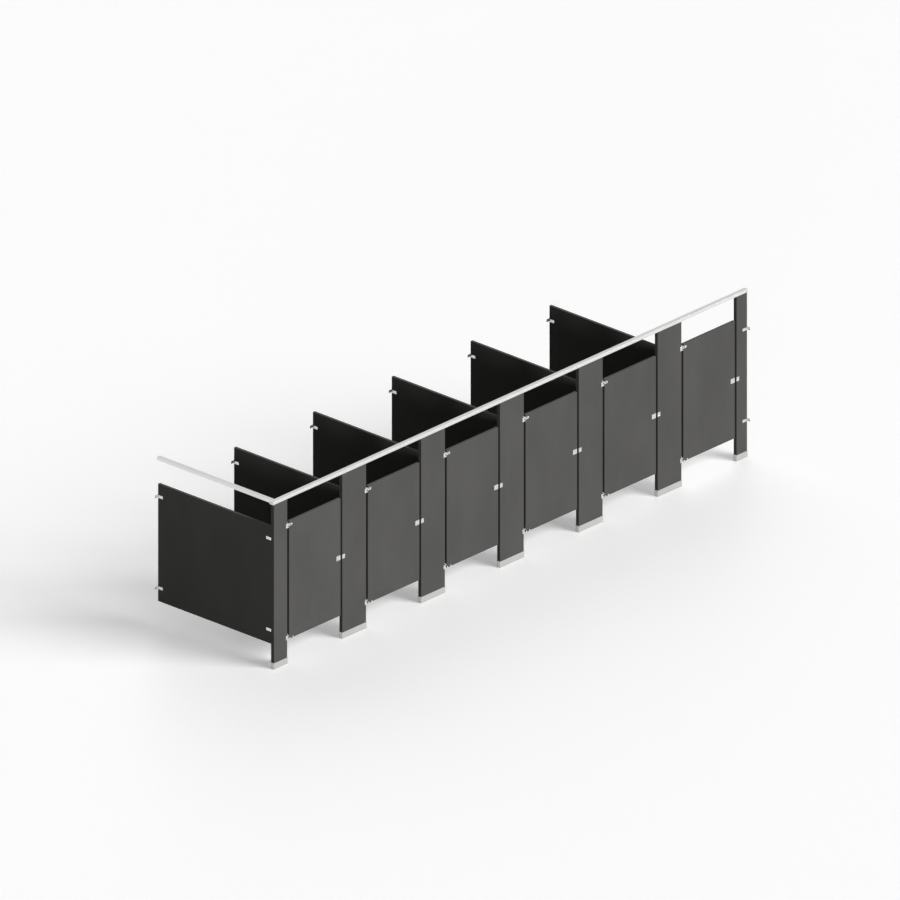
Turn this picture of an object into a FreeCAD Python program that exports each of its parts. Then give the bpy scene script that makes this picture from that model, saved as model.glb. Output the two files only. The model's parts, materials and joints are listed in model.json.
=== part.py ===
import FreeCAD, Part
import os

# Overhead-braced toilet partition: a row of compartments between a back wall and a right-hand wall.
# It is set out from the first pilaster: X from its left edge, Y from its front face, Z from the floor.
# All sizes are in millimetres.

# Row of compartments
compartments = 6
door_opening = 923.0
wide_pilaster = 397.0
left_pilaster = 222.0
right_pilaster = 175.0
right_wall_gap = 10.0

# Heights, where the doors and the end panel are a little lower than the dividers
floor_clearance = 293.0
door_height = 1459.0
divider_height = 1485.0
pilaster_top = 2078.0
pilaster_lift = 40.0

# Boards
pilaster_thickness = 46.0
door_thickness = 34.0
panel_thickness = 34.0
panel_length = 1742.0
panel_front_gap = 12.0
panel_wall_gap = 12.0
end_panel_inset = 18.0
divider_offset = 145.0
board_edge_radius = 1.5
latch_gap = 24.0
swing_clearance = 2.3

# Head rail, an inverted channel that caps the pilasters, with a return over the end panel
rail_height = 38.0
rail_overhang = 20.0
rail_wall = 2.5
rail_clearance = 0.5
rail_edge_radius = 1.5
rail_groove_width = 2.0
rail_groove_depth = 0.8
rail_groove_drop = 14.0
rail_screw_pitch = 60.0
rail_screw_rise = 18.0

# Plates inside the ends of the rails
fitting_plate = 4.0
fitting_clearance = 0.5
fitting_side_gap = 1.0
fitting_tongue = 60.0
rail_hole_spacing = 18.0

# Shoes and levelling feet of the pilasters
shoe_height = 76.0
shoe_proud = 5.0
shoe_wall = 1.5
shoe_fit = 0.3
shoe_corner = 4.0
foot_inset = 40.0
foot_disc_radius = 16.0
foot_disc_height = 6.0
foot_rod_radius = 5.0
foot_rod_depth = 55.0
foot_rod_clearance = 0.25
foot_nut_flats = 17.0
foot_nut_height = 8.0

# Stirrup brackets that clasp a board and screw to what is behind it
bracket_plate = 3.0
bracket_height = 34.0
bracket_grip = 76.0
bracket_ear = 34.0
bracket_corner = 6.0
bracket_drop = 155.0
bracket_rise = 169.0
bracket_bolt_end = 12.0
bracket_bolt_pitch = 40.0
ear_screw_pitch = 18.0
wall_hole_radius = 3.5

# Screws and through bolts
shank_radius = 2.5
shank_clearance = 0.25
head_radius = 5.5
head_height = 2.6
head_round = 1.8
socket_flats = 3.6
socket_depth = 1.4
screw_length = 20.0

# How far a cut runs past a face, how much of a plate's width one corner's radius may take,
# how much of a head's height its rim's radius may take, and the least inside corner
cut_lead = 1.0
corner_share = 0.48
rim_share = 0.9
least_corner = 0.5
touch = 1e-6

# Hinges
hinge_drop = 42.0
foot_hinge_rise = 27.0
hinge_height = 54.0
hinge_lug = 12.0
hinge_plate = 3.0
hinge_flange = 24.0
hinge_corner = 5.0
hinge_bolt_pitch = 28.0
pin_radius = 4.0
pin_clearance = 0.05
pin_head_radius = 6.5
pin_head_height = 3.0
knuckle_wall = 4.5
eye_clearance = 0.3
link_width = 12.0
strap_length = 55.0
strap_window_radius = 8.5
strap_window_in = 17.0
strap_screw_inset = 11.0
strap_screw_pitch = 15.0
foot_strap_length = 76.0
foot_tab_width = 20.0
foot_tab_rise = 18.0
foot_tab_screw_rise = 9.0

# Latch on the door
latch_height = 1020.0
latch_plate_width = 66.0
latch_plate_height = 58.0
latch_plate_thickness = 4.0
latch_plate_inset = 6.0
latch_plate_corner = 5.0
latch_groove_width = 2.4
latch_groove_depth = 1.2
latch_screw_inset = 12.0
latch_screw_margin = 6.0
latch_screw_bite = 9.0
case_height = 46.0
case_wall = 3.0
case_round = 3.0
nose_overlap = 8.0
stop_clearance = 0.3
bolt_thickness = 8.4
bolt_height = 18.0
bolt_clearance = 0.3
bolt_setback = 1.0
bolt_end_round = 2.0
bolt_throw = 22.0
knob_stem_radius = 5.0
knob_radius = 11.0
knob_length = 16.0
knob_gap = 0.6
knob_round = 3.0
knob_slot_gap = 0.5

# Keeper on the pilaster
keeper_plate = 3.0
keeper_lap = 4.0
keeper_front = 40.0
keeper_rear = 46.0
keeper_corner = 5.0
keeper_bolt_in = 20.0
keeper_bolt_land = 13.0
nose_room = 4.0
loop_length = 26.0
loop_gap = 1.0
loop_wall = 3.0

# Coat hook on the inside of the door
hook_drop = 180.0
hook_base_width = 44.0
hook_base_thickness = 4.0
hook_base_corner = 8.0
hook_screw_land = 20.0
hook_post_radius = 7.0
hook_post_rise = 14.0
hook_reach = 58.0
hook_buffer_radius = 13.0
hook_buffer_length = 10.0
hook_buffer_round = 3.0
hook_bar = 10.0
hook_arm_drop = 14.0
hook_arm_reach = 46.0
hook_tip_rise = 24.0
hook_bend_radius = 8.0
hook_tip_radius = 4.5

# Places along the row
pitch = door_opening + wide_pilaster
pilaster_widths = [left_pilaster] + [wide_pilaster] * (compartments - 1) + [right_pilaster]
second_pilaster = left_pilaster + door_opening
pilaster_lefts = [0.0] + [second_pilaster + pitch * n for n in range(compartments)]
pilaster_rights = [left + width for left, width in zip(pilaster_lefts, pilaster_widths)]
panel_lefts = [end_panel_inset] + [left + divider_offset for left in pilaster_lefts[1:-1]]
right_wall = pilaster_rights[-1] + right_wall_gap

# Places in depth
middle = pilaster_thickness / 2
door_front = middle - door_thickness / 2
door_back = middle + door_thickness / 2
panel_front = pilaster_thickness + panel_front_gap
panel_back = panel_front + panel_length
back_wall = panel_back + panel_wall_gap

# Heights that follow from the boards
door_top = floor_clearance + door_height
divider_top = floor_clearance + divider_height
panel_tops = [door_top] + [divider_top] * (compartments - 1)
bracket_levels = [floor_clearance + bracket_rise, door_top - bracket_drop]
bracket_leg = panel_wall_gap + bracket_grip

# The rails, which follow the pilasters and the end panel
rail_ceiling = pilaster_top + fitting_plate + fitting_clearance
rail_top = rail_ceiling + rail_wall
rail_bottom = rail_top - rail_height
rail_hole_level = rail_bottom + rail_height / 2 - rail_wall
rail_width = pilaster_thickness + 2 * (rail_wall + rail_clearance)
rail_left = -rail_overhang
rail_back = middle + rail_width / 2
return_line = end_panel_inset + panel_thickness / 2

# Hinge line, in the middle of the gap beside the door
hinge_gap = door_thickness + 2 * swing_clearance
hinge_reach = hinge_gap / 2
knuckle_radius = pin_radius + knuckle_wall
eye_height = hinge_height - 2 * hinge_lug - 2 * eye_clearance
foot_hinge_level = floor_clearance + foot_hinge_rise
top_hinge_level = door_top - hinge_drop
hinge_lines = [right + hinge_reach for right in pilaster_rights[:-1]]
door_lefts = [line + hinge_reach for line in hinge_lines]
door_rights = [left - latch_gap for left in pilaster_lefts[1:]]

# Depth of the latch, behind the keeper's rear flange
keeper_back = pilaster_thickness + keeper_plate
case_front = keeper_back + stop_clearance
channel_front = case_front + case_wall
bolt_front = channel_front + bolt_clearance
bolt_back = bolt_front + bolt_thickness
channel_back = bolt_back + bolt_clearance
case_back = channel_back + case_wall

# Latch, keeper and hook sizes that follow from what they hold
case_length = latch_plate_inset + latch_plate_width
loop_start = nose_overlap + nose_room
loop_half = bolt_height / 2 + loop_gap + loop_wall
keeper_height = 2 * (loop_half + keeper_bolt_land)
hook_base_height = 2 * (hook_arm_drop + hook_bar + hook_screw_land)

# The part's own frame starts on the floor, under the middle of its box
row_left = min(rail_left, end_panel_inset - bracket_plate - bracket_ear)
row_front = -bracket_plate - bracket_ear
origin = FreeCAD.Vector((row_left + right_wall) / 2, (row_front + back_wall) / 2, 0)

X = FreeCAD.Vector(1, 0, 0)
Y = FreeCAD.Vector(0, 1, 0)
Z = FreeCAD.Vector(0, 0, 1)

solids = {}
drillings = {}


def add(node, *pieces):
    """Put pieces into a node."""
    solids.setdefault(node, []).extend(pieces)


def slab(x, y, z):
    """A box between pairs of coordinates."""
    return Part.makeBox(x[1] - x[0], y[1] - y[0], z[1] - z[0], FreeCAD.Vector(x[0], y[0], z[0]))


def rod(radius, start, end):
    """A round bar from one point to another."""
    run = end - start
    return Part.makeCylinder(radius, run.Length, start, run)


def about(centre, half):
    """The pair of coordinates a half-width either side of a centre."""
    return (centre - half, centre + half)


def rounded(shape, radius, axis, chosen=lambda point: True):
    """Round the straight edges along an axis whose middle is chosen."""
    edges = []
    for edge in shape.Edges:
        run = edge.Vertexes[-1].Point - edge.Vertexes[0].Point
        if run.cross(axis).Length < touch and run.Length > touch and chosen(edge.CenterOfMass):
            edges.append(edge)
    return shape.makeFillet(radius, edges)


def joined(*pieces):
    """One solid out of touching pieces."""
    return pieces[0].fuse(list(pieces[1:])).removeSplitter().Solids[0]


def pointed(shape, place, direction):
    """A shape modelled along +Z, turned along a direction and set at a place."""
    copy = shape.copy()
    copy.Placement = FreeCAD.Placement(place, FreeCAD.Rotation(Z, direction))
    return copy


def round_ended(radius, start, end, rounding):
    """A round bar whose far rim is rounded."""
    bar = rod(radius, start, end)
    rim = [edge for edge in bar.Edges if edge.CenterOfMass.distanceToPoint(end) < touch]
    return bar.makeFillet(rounding, rim)


def hexagon(flats, height):
    """A six-sided bar that stands on the floor plane."""
    ring = Part.makePolygon(
        [FreeCAD.Rotation(Z, 60 * n).multVec(X * flats / 3 ** 0.5) for n in range(7)]
    )
    return Part.Face(ring).extrude(Z * height)


def button_head():
    """A low round head with a hexagon socket, whose seat is the floor plane and whose shank points up."""
    rounding = min(head_round, rim_share * head_height)
    disc = round_ended(head_radius, FreeCAD.Vector(), -Z * head_height, rounding)
    socket = hexagon(socket_flats, 2 * socket_depth)
    socket.translate(-Z * (head_height + socket_depth))
    return disc.cut(socket)


head = button_head()


def drill(seat, direction, length, nodes):
    """Clear a shank's hole through the nodes that it passes."""
    lead = direction * cut_lead
    hole = rod(shank_radius + shank_clearance, seat - lead, seat + direction * length + lead)
    for node in nodes:
        drillings.setdefault(node, []).append(hole)


def screw(node, seat, direction, nodes, length=screw_length):
    """A screw whose head sits at the seat and whose shank runs along the direction."""
    shank = Part.makeCylinder(shank_radius, length)
    add(node, pointed(joined(head, shank), seat, direction))
    drill(seat, direction, length, nodes)


def through_bolt(node, seat, direction, grip, nodes):
    """A bolt with a head at each end of its grip."""
    shank = Part.makeCylinder(shank_radius, grip)
    far_head = pointed(head, Z * grip, -Z)
    add(node, pointed(joined(head, shank, far_head), seat, direction))
    drill(seat, direction, grip, nodes)


def board(node, x, y, z):
    """A flat board with softened edges."""
    panel = slab(x, y, z)
    add(node, panel.makeFillet(board_edge_radius, panel.Edges))


def pilaster(number):
    """A pilaster with its shoe, its two levelling feet and its rail screws."""
    node = f"pilaster_{number + 1}"
    left, right = pilaster_lefts[number], pilaster_rights[number]
    board(node, (left, right), (0, pilaster_thickness), (pilaster_lift, pilaster_top))
    add("pilaster_shoes", shoe(left, right))
    for place in (left + foot_inset, right - foot_inset):
        centre = FreeCAD.Vector(place, middle, 0)
        add("levelling_feet", levelling_foot(centre))
        bore_top = centre + Z * (pilaster_lift + foot_rod_depth + cut_lead)
        drillings.setdefault(node, []).append(rod(foot_rod_radius + foot_rod_clearance, centre, bore_top))
    for place in about((left + right) / 2, rail_screw_pitch / 2):
        seat = FreeCAD.Vector(place, middle + rail_width / 2, rail_bottom + rail_screw_rise)
        screw("frame_fasteners", seat, -Y, ["head_rail", node])


def shoe(left, right):
    """A sheet sleeve round a pilaster's foot, closed in at its top to the board."""
    def ring(margin):
        return about((left + right) / 2, (right - left) / 2 + margin), about(middle, middle + margin)

    outside = rounded(slab(*ring(shoe_proud), (0, shoe_height)), shoe_corner, Z)
    hollow = slab(*ring(shoe_proud - shoe_wall), (-shoe_wall, shoe_height - shoe_wall))
    hollow = rounded(hollow, max(shoe_corner - shoe_wall, least_corner), Z)
    passage = slab(*ring(shoe_fit), (0, shoe_height + shoe_wall))
    return outside.cut([hollow, passage]).Solids[0]


def levelling_foot(centre):
    """A disc on the floor, its threaded rod and the nut that carries the pilaster."""
    disc = Part.makeCylinder(foot_disc_radius, foot_disc_height)
    stem = Part.makeCylinder(foot_rod_radius, pilaster_lift + foot_rod_depth)
    nut = hexagon(foot_nut_flats, foot_nut_height)
    nut.translate(Z * (pilaster_lift - foot_nut_height))
    foot = joined(disc, stem, nut)
    foot.translate(centre)
    return foot


def stirrup(thickness, left_ear, right_ear):
    """A bracket with its base on the plane Y = 0 and its two legs along +Y, either side of a board."""
    half = thickness / 2
    outer = half + bracket_plate
    rise = about(0, bracket_height / 2)
    corner = min(bracket_corner, corner_share * bracket_height)
    base = slab((-outer - left_ear, outer + right_ear), (0, bracket_plate), rise)
    base = rounded(base, corner, Y, lambda p: abs(p.x) > outer + touch)
    pieces = [base]
    for side in (-1, 1):
        leg = slab(sorted((side * half, side * outer)), (0, bracket_leg), rise)
        pieces.append(rounded(leg, corner, X, lambda p: p.y > bracket_leg / 2))
    return joined(*pieces)


def ear_middle(thickness):
    """How far the middle of a stirrup's ear is from the middle of the board."""
    return thickness / 2 + bracket_plate + bracket_ear / 2


def wall_stirrup(thickness):
    """A stirrup with a hole for a wall screw in each ear."""
    holes = []
    for place in about(0, ear_middle(thickness)):
        start = FreeCAD.Vector(place, -cut_lead, 0)
        holes.append(rod(wall_hole_radius, start, start + Y * (bracket_plate + 2 * cut_lead)))
    return stirrup(thickness, bracket_ear, bracket_ear).cut(holes).Solids[0]


def bracket_bolts(bracket_node, board_node, base, along, across, thickness):
    """The bolts through a stirrup's legs and the board between them."""
    outer = thickness / 2 + bracket_plate
    for step in range(2):
        reach = bracket_leg - bracket_bolt_end - step * bracket_bolt_pitch
        seat = base + along * reach - across * outer
        through_bolt("frame_fasteners", seat, across, 2 * outer, [bracket_node, board_node])


def side_panel(number):
    """A side panel with its brackets to the back wall and to the pilaster."""
    node = f"side_panel_{number + 1}"
    left, top = panel_lefts[number], panel_tops[number]
    board(node, (left, left + panel_thickness), (panel_front, panel_back), (floor_clearance, top))
    centre = left + panel_thickness / 2
    outer_ear = 0 if number == 0 else bracket_ear
    for level in bracket_levels:
        wall_base = FreeCAD.Vector(centre, back_wall, level)
        bracket = wall_stirrup(panel_thickness)
        bracket.rotate(FreeCAD.Vector(), Z, 180)
        bracket.translate(wall_base)
        add("wall_brackets", bracket)
        bracket_bolts("wall_brackets", node, wall_base, -Y, X, panel_thickness)

        front_base = FreeCAD.Vector(centre, pilaster_thickness, level)
        bracket = stirrup(panel_thickness, outer_ear, bracket_ear)
        bracket.translate(front_base)
        add("pilaster_brackets", bracket)
        bracket_bolts("pilaster_brackets", node, front_base, Y, X, panel_thickness)
        for side, ear in ((-1, outer_ear), (1, bracket_ear)):
            for rise in about(0, ear_screw_pitch / 2) if ear else ():
                seat = front_base + X * side * ear_middle(panel_thickness) + Y * bracket_plate + Z * rise
                screw("frame_fasteners", seat, -Y, ["pilaster_brackets", f"pilaster_{number + 1}"])


def right_wall_brackets():
    """The two brackets that hold the last pilaster to the right-hand wall."""
    for level in bracket_levels:
        base = FreeCAD.Vector(right_wall, middle, level)
        bracket = wall_stirrup(pilaster_thickness)
        bracket.rotate(FreeCAD.Vector(), Z, 90)
        bracket.translate(base)
        add("wall_brackets", bracket)
        bracket_bolts("wall_brackets", f"pilaster_{compartments + 1}", base, -X, Y, pilaster_thickness)


def channel(length):
    """A length of head rail along +X, centred on Y, with its mouth down on the plane Z = 0."""
    half = rail_width / 2
    outside = slab((0, length), about(0, half), (0, rail_height))
    outside = rounded(outside, rail_edge_radius, X, lambda p: p.z > rail_height / 2)
    run = (-cut_lead, length + cut_lead)
    cuts = [slab(run, about(0, half - rail_wall), (-cut_lead, rail_height - rail_wall))]
    groove = about(rail_height - rail_groove_drop, rail_groove_width / 2)
    for side in (-1, 1):
        sides = sorted((side * half, side * (half - rail_groove_depth)))
        cuts.append(slab(run, sides, groove))
    return outside.cut(cuts).Solids[0]


def head_rails():
    """The front rail, and the return rail that butts against its back over the end panel."""
    front = channel(right_wall - rail_left)
    front.translate(FreeCAD.Vector(rail_left, middle, rail_bottom))
    add("head_rail", front)
    back = channel(back_wall - rail_back)
    back.rotate(FreeCAD.Vector(), Z, 90)
    back.translate(FreeCAD.Vector(return_line, rail_back, rail_bottom))
    add("return_rail", back)


def rail_fitting(place, inward, wall_holes):
    """A tongue under the rail's top and a foot that closes the rail's end, which is at a place."""
    half = rail_width / 2 - rail_wall - fitting_side_gap
    below = rail_hole_level - rail_bottom - fitting_side_gap
    above = rail_ceiling - rail_hole_level
    tongue = slab(about(0, half), (0, fitting_tongue), (above - fitting_plate, above))
    foot = slab(about(0, half), (0, fitting_plate), (-below, above))
    fitting = joined(tongue, foot)
    if wall_holes:
        mouths = [FreeCAD.Vector(side, -cut_lead, 0) for side in about(0, rail_hole_spacing / 2)]
        run = Y * (fitting_plate + 2 * cut_lead)
        fitting = fitting.cut([rod(wall_hole_radius, mouth, mouth + run) for mouth in mouths]).Solids[0]
    fitting.Placement = FreeCAD.Placement(place, FreeCAD.Rotation(Y, inward))
    add("rail_fittings", fitting)


def rail_ends():
    """The fittings in the ends of both rails, and the screw that joins the rails."""
    rail_fitting(FreeCAD.Vector(right_wall, middle, rail_hole_level), -X, True)
    rail_fitting(FreeCAD.Vector(return_line, back_wall, rail_hole_level), -Y, True)
    rail_fitting(FreeCAD.Vector(rail_left, middle, rail_hole_level), X, False)
    joint = FreeCAD.Vector(return_line, rail_back, rail_hole_level)
    rail_fitting(joint, Y, False)
    screw("frame_fasteners", joint + Y * fitting_plate, -Y, ["rail_fittings", "head_rail", "pilaster_1"])


def hinge_bracket(line, level):
    """The pilaster's half of a hinge: a flange, a web on the board's edge and two bored lugs."""
    rise = about(level, hinge_height / 2)
    edge = line - hinge_reach
    face = (-hinge_plate, 0)
    corner = min(hinge_corner, corner_share * hinge_height)
    flange = slab((edge - hinge_flange, edge + hinge_plate), face, rise)
    flange = rounded(flange, corner, Y, lambda p: p.x < edge)
    pieces = [flange, slab((edge, edge + hinge_plate), (-hinge_plate, middle + knuckle_radius), rise)]
    for lug in ((level - hinge_height / 2, level - hinge_height / 2 + hinge_lug),
                (level + hinge_height / 2 - hinge_lug, level + hinge_height / 2)):
        axis = FreeCAD.Vector(line, middle, lug[0])
        arm = slab((edge, line), about(middle, knuckle_radius), lug)
        cheek = slab((edge, line + knuckle_radius), (-hinge_plate, middle), lug)
        cheek = rounded(cheek, hinge_corner, Z, lambda p: p.x > line and p.y < 0)
        pieces += [arm, cheek, rod(knuckle_radius, axis, axis + Z * hinge_lug)]
    return joined(*pieces).cut(pin_bore(line, level)).Solids[0]


def pin_bore(line, level):
    """The hole that a hinge pin runs in."""
    start = FreeCAD.Vector(line, middle, level - hinge_height)
    return rod(pin_radius + pin_clearance, start, start + Z * 2 * hinge_height)


def hinge_pin(line, level):
    """A hinge pin, hung by its head on the upper lug."""
    foot = FreeCAD.Vector(line, middle, level - hinge_height / 2)
    top = foot + Z * hinge_height
    return joined(rod(pin_radius, foot, top), rod(pin_head_radius, top, top + Z * pin_head_height))


def knuckle(line, level, web_rise, web_depth):
    """The door's eye with the web that lies on the door's edge."""
    axis = FreeCAD.Vector(line, middle, level - eye_height / 2)
    edge = line + hinge_reach
    eye = rod(knuckle_radius, axis, axis + Z * eye_height)
    link = slab((line, edge), about(middle, link_width / 2), about(level, eye_height / 2))
    web = slab((edge - hinge_plate, edge), web_depth, web_rise)
    return [eye, link, web]


def top_strap(line, fastener_node, drilled_nodes):
    """The upper strap: an eye, and a leg with a round window on the door's front face."""
    level = top_hinge_level
    rise = about(level, eye_height / 2)
    edge = line + hinge_reach
    start = edge - hinge_plate
    end = start + strap_length
    face = (door_front - hinge_plate, door_front)
    leg = slab((start, end), face, rise)
    leg = rounded(leg, corner_share * eye_height, Y, lambda p: p.x > (start + end) / 2)
    mouth = FreeCAD.Vector(edge + strap_window_in, face[0] - cut_lead, level)
    window = rod(strap_window_radius, mouth, mouth + Y * (hinge_plate + 2 * cut_lead))
    web_depth = (face[0], middle + link_width / 2)
    strap = joined(leg, *knuckle(line, level, rise, web_depth))
    for place in about(level, strap_screw_pitch / 2):
        screw(fastener_node, FreeCAD.Vector(end - strap_screw_inset, face[0], place), Y, drilled_nodes)
    return strap.cut([window, pin_bore(line, level)]).Solids[0]


def foot_strap(line, fastener_node, drilled_nodes):
    """The lower strap: an eye, a plate under the door and two tabs up the door's front face."""
    level = floor_clearance
    start = line + hinge_reach - hinge_plate
    end = start + foot_strap_length
    sole = slab((start, end), (door_front - hinge_plate, door_back), (level - hinge_plate, level))
    face = (door_front - hinge_plate, door_front)
    pieces = [sole]
    for place in (start + hinge_plate + foot_tab_width / 2, end - foot_tab_width / 2):
        tab = slab(about(place, foot_tab_width / 2), face, (level - hinge_plate, level + foot_tab_rise))
        pieces.append(rounded(tab, corner_share * foot_tab_width, Y, lambda p: p.z > level))
        seat = FreeCAD.Vector(place, face[0], level + foot_tab_screw_rise)
        screw(fastener_node, seat, Y, drilled_nodes)
    web_rise = (level - hinge_plate, foot_hinge_level + eye_height / 2)
    eye = knuckle(line, foot_hinge_level, web_rise, about(middle, knuckle_radius))
    return joined(*pieces, *eye).cut(pin_bore(line, foot_hinge_level)).Solids[0]


def latch_plate(edge):
    """The latch's plate on the outside of the door."""
    right = edge - latch_plate_inset
    left = right - latch_plate_width
    rise = about(latch_height, latch_plate_height / 2)
    front = door_front - latch_plate_thickness
    plate = rounded(slab((left, right), (front, door_front), rise), latch_plate_corner, Y)
    groove_depth = (front - cut_lead, front + latch_groove_depth)
    groove_rise = about(latch_height, latch_plate_height / 2 + cut_lead)
    groove = slab(about((left + right) / 2, latch_groove_width / 2), groove_depth, groove_rise)
    return plate.cut(groove).Solids[0]


def knob_place(edge):
    """Where the bolt's knob stands when the bolt is drawn back."""
    return edge - case_length / 2 - bolt_throw / 2


def latch_case(edge, post):
    """The latch's case inside the door, with a nose that stops behind the keeper."""
    rise = about(latch_height, case_height / 2)
    body = slab((edge - case_length, edge), (door_back, case_back), rise)
    nose = slab((edge, post + nose_overlap), (case_front, case_back), rise)
    shell = rounded(joined(body, nose), case_round, X, lambda p: p.y > case_back - touch)
    half = bolt_height / 2 + bolt_clearance
    race_run = (edge - case_length + case_wall, post + nose_overlap + cut_lead)
    race = slab(race_run, (channel_front, channel_back), about(latch_height, half))
    reach = knob_stem_radius + knob_slot_gap
    slot_run = (knob_place(edge) - reach, knob_place(edge) + bolt_throw + reach)
    slot = slab(slot_run, (channel_back - cut_lead, case_back + cut_lead), about(latch_height, reach))
    return shell.cut([race, slot]).Solids[0]


def latch_bolt(edge, post):
    """The sliding bolt with its knob, drawn back."""
    run = (edge - case_length + case_wall + bolt_clearance, post + nose_overlap - bolt_setback)
    bar = slab(run, (bolt_front, bolt_back), about(latch_height, bolt_height / 2))
    bar = rounded(bar, bolt_end_round, Z, lambda p: p.x > post)
    root = FreeCAD.Vector(knob_place(edge), bolt_front + bolt_thickness / 2, latch_height)
    seat = FreeCAD.Vector(root.x, case_back + knob_gap, root.z)
    knob = round_ended(knob_radius, seat, seat + Y * knob_length, knob_round)
    return joined(bar, rod(knob_stem_radius, root, seat), knob)


def keeper(post):
    """The keeper's plates on both faces of the pilaster, the rear one with the loop that takes the bolt."""
    rise = about(latch_height, keeper_height / 2)
    front = slab((post - keeper_lap, post + keeper_front), (-keeper_plate, 0), rise)
    rear = slab((post, post + keeper_rear), (pilaster_thickness, keeper_back), rise)
    front, rear = (rounded(plate, keeper_corner, Y) for plate in (front, rear))
    run = (post + loop_start, post + loop_start + loop_length)
    loop = slab(run, (keeper_back, bolt_back + loop_gap + loop_wall), about(latch_height, loop_half))
    mouth = slab(run, (keeper_back, bolt_back + loop_gap), about(latch_height, loop_half - loop_wall))
    return [front, joined(rear, loop.cut(mouth))]


def coat_hook(centre, level):
    """A hook with a buffer post, on a plate inside the door."""
    seat = door_back + hook_base_thickness
    base = slab(about(centre, hook_base_width / 2), (door_back, seat), about(level, hook_base_height / 2))
    base = rounded(base, hook_base_corner, Y)
    root = FreeCAD.Vector(centre, seat, level + hook_post_rise)
    end = root + Y * hook_reach
    buffer = round_ended(hook_buffer_radius, end, end + Y * hook_buffer_length, hook_buffer_round)
    side = about(centre, hook_bar / 2)
    low = level - hook_arm_drop - hook_bar
    far = seat + hook_arm_reach
    arm = joined(
        slab(side, (seat, far), (low, low + hook_bar)),
        slab(side, (far - hook_bar, far), (low, low + hook_tip_rise)),
    )
    arm = rounded(arm, hook_bend_radius, X, lambda p: p.y > far - touch and p.z < low + touch)
    arm = rounded(arm, hook_tip_radius, X, lambda p: p.z > low + hook_tip_rise - touch)
    return joined(base, rod(hook_post_radius, root, end), buffer, arm)


def door(number):
    """A door with its hinges, latch, keeper and coat hook."""
    tag = number + 1
    leaf, straps, fasteners = f"door_leaf_{tag}", f"hinge_straps_{tag}", f"door_fasteners_{tag}"
    case, hook, post_node = f"latch_case_{tag}", f"coat_hook_{tag}", f"pilaster_{tag + 1}"
    line, edge, post = hinge_lines[number], door_rights[number], pilaster_lefts[number + 1]
    board(leaf, (door_lefts[number], edge), (door_front, door_back), (floor_clearance, door_top))

    for level in (foot_hinge_level, top_hinge_level):
        add("hinge_brackets", hinge_bracket(line, level))
        add("hinge_pins", hinge_pin(line, level))
        for rise in about(level, hinge_bolt_pitch / 2):
            seat = FreeCAD.Vector(line - hinge_reach - hinge_flange / 2, -hinge_plate, rise)
            grip = pilaster_thickness + hinge_plate
            through_bolt("frame_fasteners", seat, Y, grip, ["hinge_brackets", f"pilaster_{tag}"])
    for strap in (top_strap, foot_strap):
        add(straps, strap(line, fasteners, [leaf, straps]))

    add(case, latch_plate(edge), latch_case(edge, post))
    add(f"latch_bolt_{tag}", latch_bolt(edge, post))
    plate_right = edge - latch_plate_inset
    for place in (plate_right - latch_screw_inset, plate_right - latch_plate_width + latch_screw_inset):
        for rise in about(latch_height, case_height / 2 - latch_screw_margin):
            seat = FreeCAD.Vector(place, door_front - latch_plate_thickness, rise)
            length = latch_plate_thickness + door_thickness + latch_screw_bite
            screw(fasteners, seat, Y, [case, leaf], length)

    add("keepers", *keeper(post))
    for rise in about(latch_height, loop_half + keeper_bolt_land / 2):
        seat = FreeCAD.Vector(post + keeper_bolt_in, -keeper_plate, rise)
        grip = pilaster_thickness + 2 * keeper_plate
        through_bolt("frame_fasteners", seat, Y, grip, ["keepers", post_node])

    centre, level = (door_lefts[number] + edge) / 2, door_top - hook_drop
    add(hook, coat_hook(centre, level))
    for rise in about(level, hook_base_height / 2 - hook_screw_land / 2):
        seat = FreeCAD.Vector(centre, door_back + hook_base_thickness, rise)
        screw(fasteners, seat, -Y, [hook, leaf])


def drilled(solid, holes):
    """A solid with the holes that reach it cut out."""
    near = [hole for hole in holes if hole.BoundBox.intersect(solid.BoundBox)]
    return solid.cut(near).Solids[0] if near else solid


def build():
    """Make every piece, drill it and write one file for each node."""
    head_rails()
    rail_ends()
    for number in range(compartments + 1):
        pilaster(number)
    for number in range(compartments):
        side_panel(number)
        door(number)
    right_wall_brackets()
    os.makedirs("parts", exist_ok=True)
    for node, pieces in solids.items():
        finished = [drilled(piece, drillings.get(node, [])) for piece in pieces]
        group = Part.makeCompound(finished) if len(finished) > 1 else finished[0].copy()
        group.translate(-origin)
        group.exportStep(f"parts/{node}.step")


build()
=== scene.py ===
import json
import math

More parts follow.
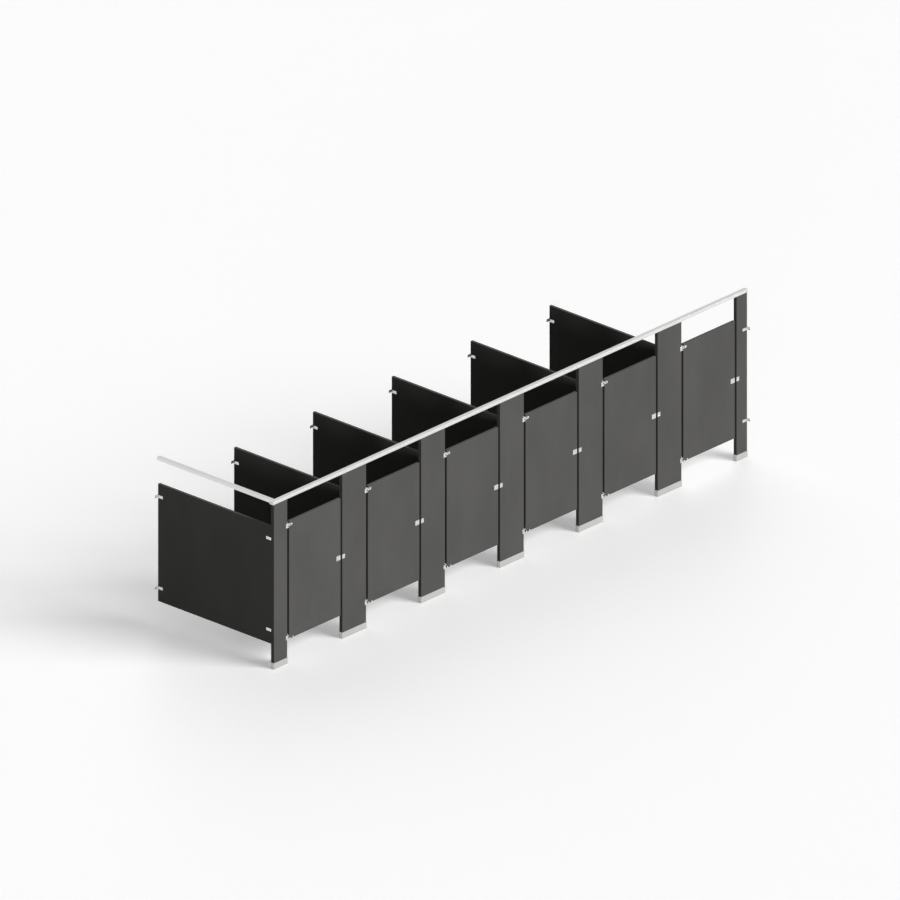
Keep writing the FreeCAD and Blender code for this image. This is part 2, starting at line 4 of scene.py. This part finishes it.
import bpy
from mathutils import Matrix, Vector

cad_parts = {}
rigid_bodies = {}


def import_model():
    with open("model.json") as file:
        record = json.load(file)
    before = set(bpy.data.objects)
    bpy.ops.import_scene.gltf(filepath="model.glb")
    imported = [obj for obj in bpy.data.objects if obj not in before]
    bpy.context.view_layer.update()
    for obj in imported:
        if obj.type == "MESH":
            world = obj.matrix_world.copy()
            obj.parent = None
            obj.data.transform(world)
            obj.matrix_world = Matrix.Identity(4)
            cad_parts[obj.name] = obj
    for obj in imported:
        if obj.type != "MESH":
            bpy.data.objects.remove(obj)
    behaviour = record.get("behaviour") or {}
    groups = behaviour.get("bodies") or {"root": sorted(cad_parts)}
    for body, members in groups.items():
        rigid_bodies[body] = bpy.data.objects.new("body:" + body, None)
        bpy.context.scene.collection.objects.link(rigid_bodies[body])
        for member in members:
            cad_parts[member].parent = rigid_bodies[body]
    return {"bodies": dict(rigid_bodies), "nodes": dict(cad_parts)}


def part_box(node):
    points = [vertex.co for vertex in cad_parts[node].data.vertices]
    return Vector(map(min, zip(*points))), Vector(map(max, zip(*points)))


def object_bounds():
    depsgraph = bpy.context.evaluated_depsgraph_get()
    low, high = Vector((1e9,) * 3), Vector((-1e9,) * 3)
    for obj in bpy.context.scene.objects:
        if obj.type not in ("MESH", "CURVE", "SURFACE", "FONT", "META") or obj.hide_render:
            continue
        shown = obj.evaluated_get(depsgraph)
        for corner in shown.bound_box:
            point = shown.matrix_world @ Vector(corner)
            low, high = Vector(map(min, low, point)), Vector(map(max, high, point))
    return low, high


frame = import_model()
cad_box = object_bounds()
nodes = frame["nodes"]
compartments = sum(body.startswith("door_") for body in frame["bodies"])

# The view: a parallel projection, set by the pixel where the first pilaster's corner meets the floor
image_side = 900
pixels_per_metre = 88.3
view_azimuth = math.radians(-47.43)
view_elevation = math.radians(24.40)
corner_pixel = (273.98, 669.40)
camera_distance = 30.0
view_depth = 4 * camera_distance

# Studio light, in the units in which a white surface that faces a level of 1 renders white
key_direction = Vector((0.28, -0.78, 0.50)).normalized()
key_level = 1.16
key_spread = math.radians(36)
side_direction = Vector((-0.80, -0.60, 0.03)).normalized()
side_level = 0.24
side_spread = math.radians(16)
back_direction = Vector((0.42, 0.72, 0.55)).normalized()
back_level = 0.28
back_spread = math.radians(60)
fill_level = 0.05

# The sky where it is seen: its level low down and overhead, and the heights between which it changes
sky_low = 0.98
sky_high = 0.78
sky_rise = (0.05, 0.40)

# The floor: its size in metres, what it throws back as light, and how it looks where it is seen
floor_side = 80.0
floor_parts = 8
floor_bounce = 0.28
floor_tint = 0.80
floor_dust = 0.995
floor_glow = 0.315
floor_glow_colour = (1, 1, 0.995, 1)
floor_gloss = 0.09
floor_gloss_roughness = 0.42

# Colours of the finishes, linear
charcoal = (0.084, 0.083, 0.080, 1)
charcoal_pale = (0.096, 0.095, 0.0915, 1)
# A paler charcoal for specks, wear and scuffs, and for the painted highlight along arrises
charcoal_wear_and_highlight = (0.15, 0.149, 0.146, 1)
charcoal_deep = (0.055, 0.055, 0.053, 1)
aluminium = (0.75, 0.75, 0.74, 1)
aluminium_dull = (0.66, 0.66, 0.66, 1)
stainless = (0.54, 0.535, 0.525, 1)
stainless_dull = (0.43, 0.425, 0.415, 1)
plated = (0.73, 0.73, 0.72, 1)
plated_dull = (0.59, 0.59, 0.58, 1)
bright_steel = (0.66, 0.66, 0.65, 1)
zinc = (0.50, 0.51, 0.53, 1)
zinc_pale = (0.60, 0.61, 0.63, 1)

# Roughness of the finishes, and how little a board shines
board_roughness = 0.50
board_shine = 0.02
rail_roughness = 0.30
shoe_roughness = 0.46
hardware_roughness = 0.24
fastener_roughness = 0.30
zinc_roughness = 0.40

# Grains to a metre
cloud_grains = 2.2
speck_grains = 420
pebble_grains = 300
nick_grains = 60
scuff_grains = 30
line_grains = 450
bloom_grains = 5
skin_grains = 900
patch_grains = 45
spangle_grains = 160.0
zinc_skin_grains = 700
dust_grains = 1.5

# How grains are stretched: a small number draws them out along that direction
upright_clouds = (1, 1, 0.45)
level_scuffs = (0.25, 1, 2.4)
lines_along_row = (0.01, 1, 1)
lines_into_depth = (1, 0.01, 1)
lines_round_shoe = (0.015, 0.015, 1)

# Depths of grain, and how far in from an arris the wear and painted highlight are full and where they end,
# in metres
pebble_depth = 0.0007
line_depth = 0.00008
skin_depth = 0.00005
wear_and_highlight_full = 0.0004
wear_and_highlight_end = 0.0035


class Wire:
    """An output of a shader node that takes part in sums: each operator adds a Math node."""

    def __init__(self, finish, socket):
        self.finish = finish
        self.socket = socket

    def math(self, operation, *values):
        return self.finish.add("Math", {"operation": operation}, dict(enumerate(values)))

    def __add__(self, other):
        return self.math("ADD", self, other)

    def __sub__(self, other):
        return self.math("SUBTRACT", self, other)

    def __mul__(self, other):
        return self.math("MULTIPLY", self, other)

    def __radd__(self, other):
        return self.math("ADD", other, self)

    def __rsub__(self, other):
        return self.math("SUBTRACT", other, self)

    def __rmul__(self, other):
        return self.math("MULTIPLY", other, self)

    def least(self, other):
        return self.math("MINIMUM", self, other)

    def most(self, other):
        return self.math("MAXIMUM", self, other)


class Finish:
    """A node tree that is written one node at a time."""

    def __init__(self, owner):
        owner.use_nodes = True
        self.owner = owner
        self.tree = owner.node_tree

    def add(self, kind, settings=None, sockets=None, output=0):
        """One node: its settings first, then the values or links of its sockets."""
        node = self.tree.nodes.new("ShaderNode" + kind)
        for name, value in (settings or {}).items():
            setattr(node, name, value)
        for key, value in (sockets or {}).items():
            self.feed(node.inputs[key], value)
        return Wire(self, node.outputs[output])

    def feed(self, socket, value):
        """Link a wire to a socket, or set the socket's own value."""
        if isinstance(value, Wire):
            self.tree.links.new(value.socket, socket)
        else:
            socket.default_value = value

    def surface(self, **sockets):
        """Set the sockets of the material's shader, named with underscores for spaces."""
        shader = self.tree.nodes["Principled BSDF"]
        for name, value in sockets.items():
            self.feed(shader.inputs[name.replace("_", " ")], value)
        return self.owner

    def place(self):
        """The point on the piece, in metres."""
        return self.add("TexCoord", output="Object")

    def share(self):
        """The point on the piece as three shares of its box, or in the sky the direction looked in."""
        point = self.add("TexCoord", output="Generated")
        return [self.add("SeparateXYZ", None, {0: point}, axis) for axis in "XYZ"]

    def noise(self, grains, detail=2.0, stretch=(1, 1, 1), roughness=0.5):
        """Noise from 0 to 1 with so many grains to a metre, stretched by direction."""
        point = self.add("VectorMath", {"operation": "MULTIPLY"}, {0: self.place(), 1: stretch})
        sockets = {"Vector": point, "Scale": grains, "Detail": detail, "Roughness": roughness}
        return self.add("TexNoise", None, sockets)

    def ramp(self, value, low, high):
        """0 at low, 1 at high, and a smooth slope between them."""
        sockets = {"Value": value, "From Min": low, "From Max": high}
        return self.add("MapRange", {"interpolation_type": "SMOOTHSTEP"}, sockets)

    def mix(self, factor, first, second):
        """A colour between two colours."""
        return self.add("Mix", {"data_type": "RGBA"}, {0: factor, 6: first, 7: second}, 2)

    def bump(self, height, distance, strength):
        """A normal bent by a height from 0 to 1 that stands for so many metres."""
        return self.add("Bump", None, {"Height": height, "Distance": distance, "Strength": strength})


def new_finish(name):
    """The finish of a new material."""
    return Finish(bpy.data.materials.new(name))


def grey(level):
    """A grey, the same in red, green and blue."""
    return (level, level, level, 1)


def board_finish(name, size, scuffed):
    """Charcoal board: a fine pebbled face, clouded tone, arrises paler in patches as wear and as a painted
    highlight and, on doors, scuffs low down.
    """
    finish = new_finish(name)
    # Distances to the nearer face in each direction: the second smallest is the distance to an arris
    a, b, c = (share.least(1 - share) * side for share, side in zip(finish.share(), size))
    arris = a.least(b).most(a.most(b).least(c))
    nicks = finish.noise(nick_grains, 4)
    # Paler patches near the arrises: partly wear, partly a painted highlight where an edge catches the
    # light
    wear_and_highlight = (1 - finish.ramp(arris, wear_and_highlight_full, wear_and_highlight_end)) * finish.ramp(nicks, 0.35, 0.7)
    clouds = finish.noise(cloud_grains, 4, upright_clouds, 0.55)
    specks = finish.noise(speck_grains, 3)
    tone = finish.mix(finish.ramp(clouds, 0.3, 0.72), charcoal, charcoal_pale)
    tone = finish.mix(finish.ramp(specks, 0.6, 0.78) * 0.45, tone, charcoal_wear_and_highlight)
    tone = finish.mix(finish.ramp(specks, 0.42, 0.26) * 0.5, tone, charcoal_deep)
    if scuffed:
        low_down = 1 - finish.ramp(finish.share()[2], 0.02, 0.22)
        scuffs = finish.ramp(finish.noise(scuff_grains, 3, level_scuffs), 0.6, 0.74)
        wear_and_highlight = wear_and_highlight.most(low_down * scuffs * 0.35)
    # Wear, scuffs and the painted arris highlight all mix the tone toward the paler charcoal
    tone = finish.mix(wear_and_highlight * 0.8, tone, charcoal_wear_and_highlight)
    pebbles = finish.noise(pebble_grains, 2) * 0.7 + specks * 0.3
    return finish.surface(
        Base_Color=tone,
        Roughness=board_roughness + clouds * 0.12 - wear_and_highlight * 0.12,
        Specular_IOR_Level=board_shine,
        Normal=finish.bump(pebbles, pebble_depth, 0.8),
    )


def brushed_finish(name, bright, dull, stretch, roughness):
    """Metal with fine lines drawn along one direction, and a faint bloom."""
    finish = new_finish(name)
    lines = finish.noise(line_grains, 3, stretch)
    bloom = finish.noise(bloom_grains, 4)
    dulled = finish.ramp(lines, 0.35, 0.75) * 0.55 + finish.ramp(bloom, 0.4, 0.8) * 0.35
    return finish.surface(
        Base_Color=finish.mix(dulled, bright, dull),
        Metallic=1.0,
        Roughness=roughness + lines * 0.12 + bloom * 0.06,
        Normal=finish.bump(lines, line_depth, 0.5),
    )


def cast_finish(name, bright, dull, roughness):
    """Satin plated casting: soft grain, faint dulling in patches."""
    finish = new_finish(name)
    skin = finish.noise(skin_grains, 2)
    patches = finish.noise(patch_grains, 4)
    dulled = finish.ramp(patches, 0.42, 0.75) * 0.6
    return finish.surface(
        Base_Color=finish.mix(dulled, bright, dull),
        Metallic=1.0,
        Roughness=roughness + finish.ramp(patches, 0.4, 0.8) * 0.06 + skin * 0.05,
        Normal=finish.bump(skin, skin_depth, 0.4),
    )


def zinc_finish(name):
    """Zinc-plated steel with its flat spangle."""
    finish = new_finish(name)
    sockets = {"Vector": finish.place(), "Scale": spangle_grains}
    spangle = finish.add("TexVoronoi", None, sockets, "Distance")
    return finish.surface(
        Base_Color=finish.mix(spangle, zinc, zinc_pale),
        Metallic=1.0,
        Roughness=zinc_roughness + spangle * 0.2,
        Normal=finish.bump(finish.noise(zinc_skin_grains, 2), skin_depth, 0.4),
    )


def dress(material, *names):
    """Give nodes one material."""
    for name in names:
        mesh = nodes[name].data
        mesh.materials.clear()
        mesh.materials.append(material)


def node_size(name):
    """A node's length, depth and height, in metres."""
    low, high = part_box(name)
    return tuple(high - low)


def dress_boards():
    """One finish for each kind and length of board."""
    finishes = {}
    for name in sorted(nodes):
        kind = name.rsplit("_", 1)[0]
        if kind in ("pilaster", "side_panel", "door_leaf"):
            size = node_size(name)
            key = (kind, round(size[0], 3))
            if key not in finishes:
                label = f"{kind}_board_{len(finishes) + 1}"
                finishes[key] = board_finish(label, size, kind == "door_leaf")
            dress(finishes[key], name)


def dress_rails():
    """Satin rails, brushed along their length."""
    satin = (aluminium, aluminium_dull)
    dress(brushed_finish("head_rail_satin", *satin, lines_along_row, rail_roughness), "head_rail")
    dress(brushed_finish("return_rail_satin", *satin, lines_into_depth, rail_roughness), "return_rail")


def dress_shoes():
    """Brushed shoes, kept from throwing the key lamp's glare on the floor as white bands."""
    brushed = brushed_finish("shoe_brushed", stainless, stainless_dull, lines_round_shoe, shoe_roughness)
    dress(brushed, "pilaster_shoes")
    nodes["pilaster_shoes"].visible_diffuse = False


def dress_hardware():
    """Plated brackets, hinges, latches and hooks, their steel fasteners, and zinc on what is inside."""
    numbers = range(1, compartments + 1)
    hardware = cast_finish("hardware_plated", plated, plated_dull, hardware_roughness)
    dress(hardware, "wall_brackets", "pilaster_brackets", "hinge_brackets", "keepers")
    for kind in ("hinge_straps", "latch_case", "latch_bolt", "coat_hook"):
        dress(hardware, *(f"{kind}_{n}" for n in numbers))
    steel = cast_finish("fastener_steel", bright_steel, stainless_dull, fastener_roughness)
    dress(steel, "frame_fasteners", "hinge_pins", *(f"door_fasteners_{n}" for n in numbers))
    dress(zinc_finish("inner_zinc"), "rail_fittings", "levelling_feet")


def seen_directly(finish):
    """1 for what the camera sees, also in metal or through glass, and 0 for light that spreads."""
    rays = ("Is Camera Ray", "Is Glossy Ray", "Is Transmission Ray")
    camera, glossy, through = (finish.add("LightPath", output=ray) for ray in rays)
    return camera.most(glossy).most(through)


def make_floor():
    """A plain pale floor. Where it is seen, it is paler than the light that it throws back."""
    bpy.ops.mesh.primitive_grid_add(x_subdivisions=floor_parts, y_subdivisions=floor_parts, size=floor_side)
    floor = bpy.context.object
    floor.name = "studio_floor"
    finish = new_finish("studio_floor")
    seen = seen_directly(finish)
    dust = finish.ramp(finish.noise(dust_grains, 3), 0.3, 0.8)
    pale = finish.mix(dust, grey(floor_tint), grey(floor_tint * floor_dust))
    shaded = finish.add("BsdfDiffuse", None, {"Color": pale})
    glow = finish.add("Emission", None, {"Color": floor_glow_colour, "Strength": floor_glow})
    matt = finish.add("AddShader", None, {0: shaded, 1: glow})
    gloss = finish.add("BsdfAnisotropic", None, {"Color": grey(1), "Roughness": floor_gloss_roughness})
    shine = floor_gloss * finish.add("LightPath", output="Is Camera Ray")
    shown = finish.add("MixShader", None, {0: shine, 1: matt, 2: gloss})
    bounce = finish.add("BsdfDiffuse", None, {"Color": grey(floor_bounce)})
    result = finish.add("MixShader", None, {0: seen, 1: bounce, 2: shown})
    finish.feed(finish.tree.nodes["Material Output"].inputs["Surface"], result)
    floor.data.materials.append(finish.owner)


def make_sky():
    """Even light from all round. Where it is seen it is pale, and less so overhead."""
    world = bpy.data.worlds.new("studio_sky")
    bpy.context.scene.world = world
    finish = Finish(world)
    seen = seen_directly(finish)
    height = finish.share()[2]
    shown = sky_low + finish.ramp(height, *sky_rise) * (sky_high - sky_low)
    background = finish.tree.nodes["Background"]
    finish.feed(background.inputs["Color"], grey(1))
    finish.feed(background.inputs["Strength"], fill_level + seen * (shown - fill_level))


def make_lamp(name, direction, level, spread, mirrored=True):
    """A broad, even lamp that shines from a direction, and may be mirrored in metal."""
    light = bpy.data.lights.new(name, "SUN")
    light.angle = spread
    light.energy = level * math.pi
    lamp = bpy.data.objects.new(name, light)
    lamp.visible_glossy = mirrored
    low, high = cad_box
    lamp.location = (low + high) / 2 + direction * camera_distance
    lamp.rotation_euler = direction.to_track_quat("Z", "Y").to_euler()
    bpy.context.scene.collection.objects.link(lamp)


def make_camera():
    """The camera, placed so that the first pilaster's corner falls on its pixel."""
    right = Vector((math.cos(view_azimuth), math.sin(view_azimuth), 0))
    back = Vector((math.sin(view_azimuth), -math.cos(view_azimuth), 0)) * math.cos(view_elevation)
    back.z = math.sin(view_elevation)
    up = back.cross(right)
    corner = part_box("pilaster_1")[0]
    corner.z = 0
    across = (corner_pixel[0] - image_side / 2) / pixels_per_metre
    rise = (image_side / 2 - corner_pixel[1]) / pixels_per_metre
    data = bpy.data.cameras.new("camera")
    data.type = "ORTHO"
    data.ortho_scale = image_side / pixels_per_metre
    data.clip_end = view_depth
    camera = bpy.data.objects.new("camera", data)
    camera.location = corner - right * across - up * rise + back * camera_distance
    camera.rotation_euler = back.to_track_quat("Z", "Y").to_euler()
    bpy.context.scene.collection.objects.link(camera)
    bpy.context.scene.camera = camera


dress_boards()
dress_rails()
dress_shoes()
dress_hardware()
make_floor()
make_sky()
make_lamp("key_lamp", key_direction, key_level, key_spread)
make_lamp("side_lamp", side_direction, side_level, side_spread)
make_lamp("back_lamp", back_direction, back_level, back_spread, mirrored=False)
make_camera()
bpy.context.scene.view_settings.view_transform = "Standard"
